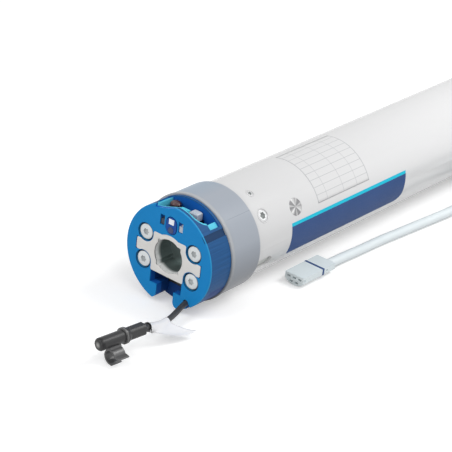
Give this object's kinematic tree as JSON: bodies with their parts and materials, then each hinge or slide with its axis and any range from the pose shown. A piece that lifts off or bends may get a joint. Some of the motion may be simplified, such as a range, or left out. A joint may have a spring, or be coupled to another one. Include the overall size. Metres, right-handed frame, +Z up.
{
  "type": "tubular roller blind motor",
  "caption": "Tubular motor for a roller blind, with a round control head, a drive ring on its neck, a geared output shaft, an aerial on a lead and an unplugged connecting cable.",
  "frame": {"origin": "centre of the drive socket in the face of the head, on the motor axis", "axes": "+Y along the motor from the head to the output shaft, +Z up away from the cable notch, +X to the side where the plug and cable lie"},
  "size_m": [0.1585, 0.6887, 0.063],
  "materials": {
    "blue_shell": "satin",
    "cast_socket": "satin",
    "screw_steel": "satin",
    "neck_plastic": "matt",
    "window_frame": "matt",
    "window_lens": "clear",
    "button_black": "matt",
    "board_green": "matt",
    "radio_knob": "matt",
    "direction_key": "matt",
    "socket_black": "matt",
    "contact_brass": "bright",
    "ring_grey": "satin",
    "pinion_white": "matt",
    "tube_lacquer": "gloss",
    "tray_black": "matt",
    "can_grey": "satin",
    "wire_blue": "matt",
    "shield_cast": "cast",
    "bush_bronze": "sintered",
    "core_iron": "laminated",
    "winding_copper": "lacquered",
    "shaft_steel": "ground",
    "brake_lining": "matt",
    "gear_steel": "sintered",
    "gear_plastic": "matt",
    "housing_zinc": "cast",
    "aerial_black": "matt",
    "cord_black": "matt",
    "tag_white": "matt",
    "plug_grey": "matt",
    "plug_navy": "matt",
    "cable_grey": "matt",
    "core_colours": "matt"
  },
  "bodies": {
    "base": {"head_cover": "blue_shell", "socket_block": "cast_socket", "head_screws": "screw_steel", "head_neck": "neck_plastic", "indicator_insert": "window_frame", "status_window": "window_lens", "key_board": "board_green", "plug_socket": "socket_black", "socket_pins": "contact_brass", "motor_tube": "tube_lacquer", "tube_screws": "screw_steel", "inner_tray": "tray_black", "control_board": "board_green", "capacitor": "can_grey", "inner_wires": "wire_blue", "end_shields": "shield_cast", "shaft_bushes": "bush_bronze", "stator_core": "core_iron", "stator_windings": "winding_copper", "brake_magnet": "core_iron", "brake_spring": "screw_steel", "gear_flange": "shaft_steel", "gear_housing": "housing_zinc", "output_bush": "bush_bronze", "end_cap": "housing_zinc", "aerial_body": "aerial_black", "aerial_clip": "aerial_black", "aerial_lead": "cord_black", "lead_tag": "tag_white", "plug_front": "plug_grey", "plug_band": "plug_navy", "plug_back": "plug_grey", "supply_cable": "cable_grey", "cable_coil": "cable_grey", "cable_tie": "socket_black", "cable_tail": "cable_grey", "wire_ends": "core_colours"},
    "drive_ring_body": {"drive_ring": "ring_grey"},
    "sensor_pinion_body": {"sensor_pinion": "pinion_white"},
    "rotor": {"rotor_shaft": "shaft_steel", "rotor_core": "core_iron", "brake_disc": "brake_lining"},
    "carrier_1_body": {"carrier_1": "gear_steel"},
    "carrier_2_body": {"carrier_2": "gear_steel"},
    "output": {"carrier_3": "gear_steel", "output_shaft": "shaft_steel"},
    "armature": {"brake_armature": "shaft_steel"},
    "radio_key": {"radio_switch": "radio_knob"},
    "direction_key": {"direction_switch": "direction_key"},
    "button": {"set_button": "button_black"},
    "planet_1_1_body": {"planet_1_1": "gear_plastic"},
    "planet_1_2_body": {"planet_1_2": "gear_plastic"},
    "planet_1_3_body": {"planet_1_3": "gear_plastic"},
    "planet_2_1_body": {"planet_2_1": "gear_steel"},
    "planet_2_2_body": {"planet_2_2": "gear_steel"},
    "planet_2_3_body": {"planet_2_3": "gear_steel"},
    "planet_3_1_body": {"planet_3_1": "gear_steel"},
    "planet_3_2_body": {"planet_3_2": "gear_steel"},
    "planet_3_3_body": {"planet_3_3": "gear_steel"}
  },
  "joints": [
    {"name": "rotor_turn", "type": "hinge", "parent": "base", "child": "rotor", "pos_m": [0, 0.3442, 0], "axis": [0, 1, 0], "continuous": true},
    {"name": "carrier_1_turn", "type": "hinge", "parent": "base", "child": "carrier_1_body", "pos_m": [0, 0.4899, 0], "axis": [0, 1, 0], "continuous": true},
    {"name": "carrier_2_turn", "type": "hinge", "parent": "base", "child": "carrier_2_body", "pos_m": [0, 0.5125, 0], "axis": [0, 1, 0], "continuous": true},
    {"name": "output_turn", "type": "hinge", "parent": "base", "child": "output", "pos_m": [0, 0.5461, 0], "axis": [0, 1, 0], "continuous": true},
    {"name": "planet_1_1_turn", "type": "hinge", "parent": "carrier_1_body", "child": "planet_1_1_body", "pos_m": [0.0132, 0.4776, 0], "axis": [0, 1, 0], "continuous": true},
    {"name": "planet_1_2_turn", "type": "hinge", "parent": "carrier_1_body", "child": "planet_1_2_body", "pos_m": [-0.0066, 0.4776, 0.01143], "axis": [0, 1, 0], "continuous": true},
    {"name": "planet_1_3_turn", "type": "hinge", "parent": "carrier_1_body", "child": "planet_1_3_body", "pos_m": [-0.0066, 0.4776, -0.01143], "axis": [0, 1, 0], "continuous": true},
    {"name": "planet_2_1_turn", "type": "hinge", "parent": "carrier_2_body", "child": "planet_2_1_body", "pos_m": [0.0132, 0.4942, 0], "axis": [0, 1, 0], "continuous": true},
    {"name": "planet_2_2_turn", "type": "hinge", "parent": "carrier_2_body", "child": "planet_2_2_body", "pos_m": [-0.0066, 0.4942, 0.01143], "axis": [0, 1, 0], "continuous": true},
    {"name": "planet_2_3_turn", "type": "hinge", "parent": "carrier_2_body", "child": "planet_2_3_body", "pos_m": [-0.0066, 0.4942, -0.01143], "axis": [0, 1, 0], "continuous": true},
    {"name": "planet_3_1_turn", "type": "hinge", "parent": "output", "child": "planet_3_1_body", "pos_m": [0.0132, 0.5178, 0], "axis": [0, 1, 0], "continuous": true},
    {"name": "planet_3_2_turn", "type": "hinge", "parent": "output", "child": "planet_3_2_body", "pos_m": [-0.0066, 0.5178, 0.01143], "axis": [0, 1, 0], "continuous": true},
    {"name": "planet_3_3_turn", "type": "hinge", "parent": "output", "child": "planet_3_3_body", "pos_m": [-0.0066, 0.5178, -0.01143], "axis": [0, 1, 0], "continuous": true},
    {"name": "drive_ring_turn", "type": "hinge", "parent": "base", "child": "drive_ring_body", "pos_m": [0, 0.0174, 0], "axis": [0, 1, 0], "continuous": true},
    {"name": "sensor_pinion_turn", "type": "hinge", "parent": "base", "child": "sensor_pinion_body", "pos_m": [-0.024, 0.0258, 0], "axis": [0, 1, 0], "continuous": true},
    {"name": "brake_release", "type": "slide", "parent": "base", "child": "armature", "axis": [0, -1, 0], "range_m": [0, 0.0004], "stiffness_N_per_m": 20000, "springref_m": -0.001, "deforming": ["brake_spring"]},
    {"name": "radio_switch_slide", "type": "slide", "parent": "base", "child": "radio_key", "axis": [0, 0, 1], "range_m": [0, 0.0022]},
    {"name": "direction_switch_slide", "type": "slide", "parent": "base", "child": "direction_key", "axis": [0, 0, 1], "range_m": [0, 0.0022]},
    {"name": "set_button_push", "type": "slide", "parent": "base", "child": "button", "axis": [0, 1, 0], "range_m": [0, 0.0009], "stiffness_N_per_m": 400, "springref_m": -0.0005}
  ],
  "couplings": [
    {"joint": "carrier_1_turn", "follows": "rotor_turn", "ratio": 0.18182},
    {"joint": "carrier_2_turn", "follows": "rotor_turn", "ratio": 0.033058},
    {"joint": "output_turn", "follows": "rotor_turn", "ratio": 0.0060105},
    {"joint": "planet_1_1_turn", "follows": "rotor_turn", "ratio": -0.46753},
    {"joint": "planet_1_2_turn", "follows": "rotor_turn", "ratio": -0.46753},
    {"joint": "planet_1_3_turn", "follows": "rotor_turn", "ratio": -0.46753},
    {"joint": "planet_2_1_turn", "follows": "rotor_turn", "ratio": -0.085006},
    {"joint": "planet_2_2_turn", "follows": "rotor_turn", "ratio": -0.085006},
    {"joint": "planet_2_3_turn", "follows": "rotor_turn", "ratio": -0.085006},
    {"joint": "planet_3_1_turn", "follows": "rotor_turn", "ratio": -0.015456},
    {"joint": "planet_3_2_turn", "follows": "rotor_turn", "ratio": -0.015456},
    {"joint": "planet_3_3_turn", "follows": "rotor_turn", "ratio": -0.015456},
    {"joint": "sensor_pinion_turn", "follows": "drive_ring_turn", "ratio": 6}
  ]
}
